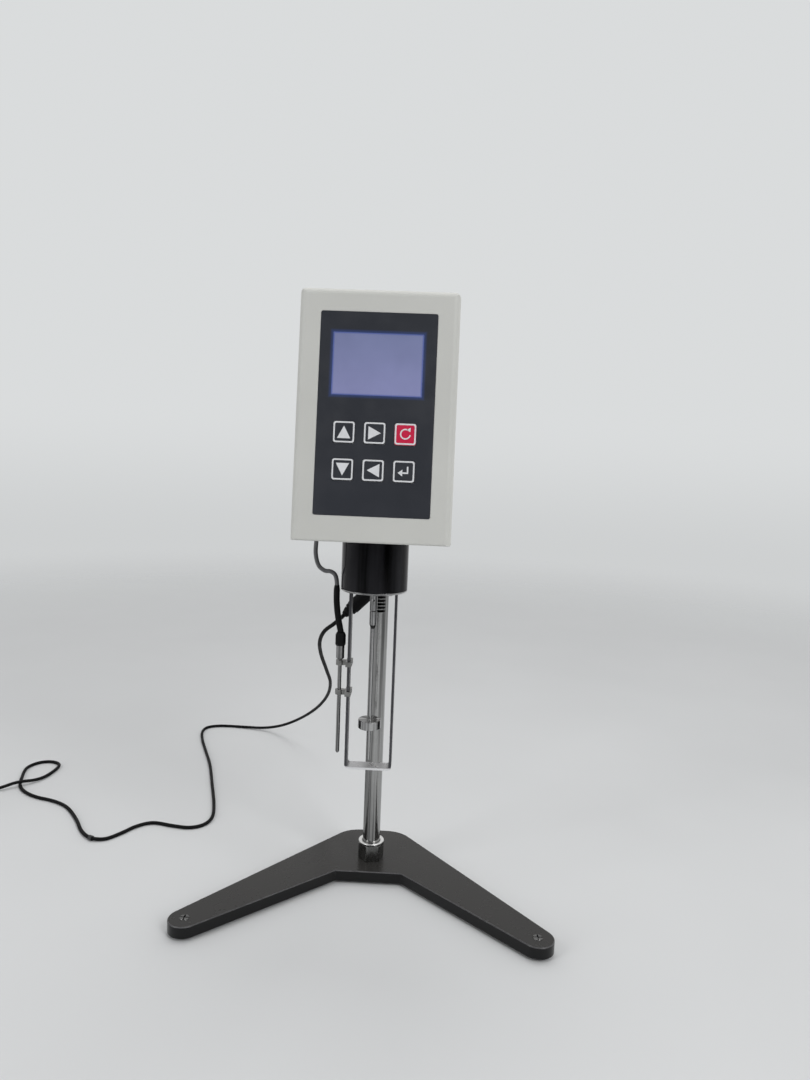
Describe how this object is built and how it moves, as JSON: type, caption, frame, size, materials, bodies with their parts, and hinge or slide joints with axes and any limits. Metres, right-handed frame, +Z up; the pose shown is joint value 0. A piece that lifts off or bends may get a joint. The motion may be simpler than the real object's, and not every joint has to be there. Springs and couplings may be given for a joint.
{
  "type": "rotational viscometer",
  "caption": "Digital rotary viscometer: measuring head with display and keys, turning spindle in a guard, temperature probe, rack column and V-shaped base on levelling screws.",
  "frame": {"origin": "on the table, under the middle of the instrument's footprint (its box without the power lead)", "axes": "+Z up along the column, -Y towards the operator, +X to the operator's right"},
  "size_m": [0.6505, 0.5016, 0.5098],
  "materials": {
    "base_enamel": "gloss black enamel",
    "polished_steel": "polished",
    "black_plastic": "moulded, matt",
    "plated_steel": "plated, satin",
    "black_paint": "satin black",
    "bronze": "turned",
    "housing_plastic": "fine moulded texture, warm grey-white",
    "panel_film": "charcoal printed film",
    "key_film": "printed film",
    "red_key_film": "red printed film",
    "display_lens": "clear lens over a blue display",
    "display_frame": "black",
    "circuit_board": "green solder mask",
    "frame_metal": "machined",
    "motor_case": "black steel",
    "neck_enamel": "gloss black",
    "stainless_strip": "brushed stainless",
    "lead_rubber": "soft black",
    "tie_plastic": "nylon",
    "vial_glass": "yellow-green liquid under glass",
    "disc_plastic": "moulded"
  },
  "bodies": {
    "stand": {"base_plate": "base_enamel", "column": "polished_steel", "column_cap": "black_plastic", "lock_nut": "polished_steel", "lead_run": "lead_rubber", "lead_coil": "lead_rubber", "lead_ties": "tie_plastic", "power_adapter": "black_plastic"},
    "head": {"lift_block": "black_paint", "slide_bushes": "bronze", "frame_screws": "plated_steel", "tension_pad": "bronze", "front_housing": "housing_plastic", "rear_cover": "housing_plastic", "cover_screws": "plated_steel", "membrane_panel": "panel_film", "display_window": "display_lens", "display_module": "display_frame", "keypad_board": "circuit_board", "main_board": "circuit_board", "chassis": "frame_metal", "motor": "motor_case", "sensor_board": "circuit_board", "neck": "neck_enamel", "neck_ring": "polished_steel", "neck_plate": "frame_metal", "neck_bearings": "plated_steel", "guard": "stainless_strip", "guard_screws": "plated_steel", "probe_gland": "lead_rubber", "probe_lead": "lead_rubber", "probe_sheath": "lead_rubber", "probe_boot": "lead_rubber", "probe_rod": "polished_steel", "probe_clips": "plated_steel", "power_socket": "frame_metal", "level_case": "frame_metal", "level_vial": "vial_glass", "switch_case": "black_plastic", "power_plug": "lead_rubber", "lead_drop": "lead_rubber"},
    "left_foot": {"foot_left": "plated_steel"},
    "right_foot": {"foot_right": "plated_steel"},
    "rear_foot": {"foot_rear": "plated_steel"},
    "lift_drive": {"lift_pinion": "plated_steel", "lift_knob": "black_plastic"},
    "tension_screw": {"tension_knob": "black_plastic"},
    "drive": {"motor_shaft": "plated_steel", "drive_disc": "disc_plastic", "hairspring": "bronze"},
    "rotor": {"pivot_shaft": "polished_steel", "torque_disc": "disc_plastic", "spindle": "polished_steel"},
    "rocker": {"switch_rocker": "black_plastic"},
    "button_up": {"key_up": "key_film"},
    "button_right": {"key_right": "key_film"},
    "button_reset": {"key_reset": "red_key_film"},
    "button_down": {"key_down": "key_film"},
    "button_left": {"key_left": "key_film"},
    "button_enter": {"key_enter": "key_film"}
  },
  "joints": [
    {"name": "left_foot_turn", "type": "hinge", "parent": "stand", "child": "left_foot", "pos_m": [-0.1425, -0.06475, 0], "axis": [0, 0, 1], "range_deg": [-180, 180]},
    {"name": "right_foot_turn", "type": "hinge", "parent": "stand", "child": "right_foot", "pos_m": [0.1425, -0.06475, 0], "axis": [0, 0, 1], "range_deg": [-180, 180]},
    {"name": "rear_foot_turn", "type": "hinge", "parent": "stand", "child": "rear_foot", "pos_m": [0, 0.08575, 0], "axis": [0, 0, 1], "range_deg": [-180, 180]},
    {"name": "head_lift", "type": "slide", "parent": "stand", "child": "head", "axis": [0, 0, 1], "range_m": [-0.1, 0.06]},
    {"name": "lift_turn", "type": "hinge", "parent": "head", "child": "lift_drive", "pos_m": [0, 0.03405, 0.3605], "axis": [1, 0, 0], "range_deg": [-435, 720]},
    {"name": "tension_turn", "type": "hinge", "parent": "head", "child": "tension_screw", "pos_m": [0, 0.06875, 0.3605], "axis": [0, 1, 0], "range_deg": [-90, 90]},
    {"name": "rotor_spin", "type": "hinge", "parent": "head", "child": "rotor", "pos_m": [0, -0.03525, 0.3285], "axis": [0, 0, 1], "continuous": true},
    {"name": "drive_spin", "type": "hinge", "parent": "head", "child": "drive", "pos_m": [0, -0.03525, 0.3285], "axis": [0, 0, 1], "continuous": true},
    {"name": "press_up", "type": "slide", "parent": "head", "child": "button_up", "axis": [0, 0.9914, -0.1305], "range_m": [0, 0.0005], "stiffness_N_per_m": 2000, "springref_m": -0.0003},
    {"name": "press_right", "type": "slide", "parent": "head", "child": "button_right", "axis": [0, 0.9914, -0.1305], "range_m": [0, 0.0005], "stiffness_N_per_m": 2000, "springref_m": -0.0003},
    {"name": "press_reset", "type": "slide", "parent": "head", "child": "button_reset", "axis": [0, 0.9914, -0.1305], "range_m": [0, 0.0005], "stiffness_N_per_m": 2000, "springref_m": -0.0003},
    {"name": "press_down", "type": "slide", "parent": "head", "child": "button_down", "axis": [0, 0.9914, -0.1305], "range_m": [0, 0.0005], "stiffness_N_per_m": 2000, "springref_m": -0.0003},
    {"name": "press_left", "type": "slide", "parent": "head", "child": "button_left", "axis": [0, 0.9914, -0.1305], "range_m": [0, 0.0005], "stiffness_N_per_m": 2000, "springref_m": -0.0003},
    {"name": "press_enter", "type": "slide", "parent": "head", "child": "button_enter", "axis": [0, 0.9914, -0.1305], "range_m": [0, 0.0005], "stiffness_N_per_m": 2000, "springref_m": -0.0003},
    {"name": "rocker_tilt", "type": "hinge", "parent": "head", "child": "rocker", "pos_m": [-0.034, 0.02075, 0.3885], "axis": [1, 0, 0], "range_deg": [0, 18]}
  ],
  "couplings": [
    {"joint": "lift_turn", "follows": "head_lift", "rad_per_m": -125},
    {"joint": "drive_spin", "follows": "rotor_spin", "ratio": 1}
  ]
}
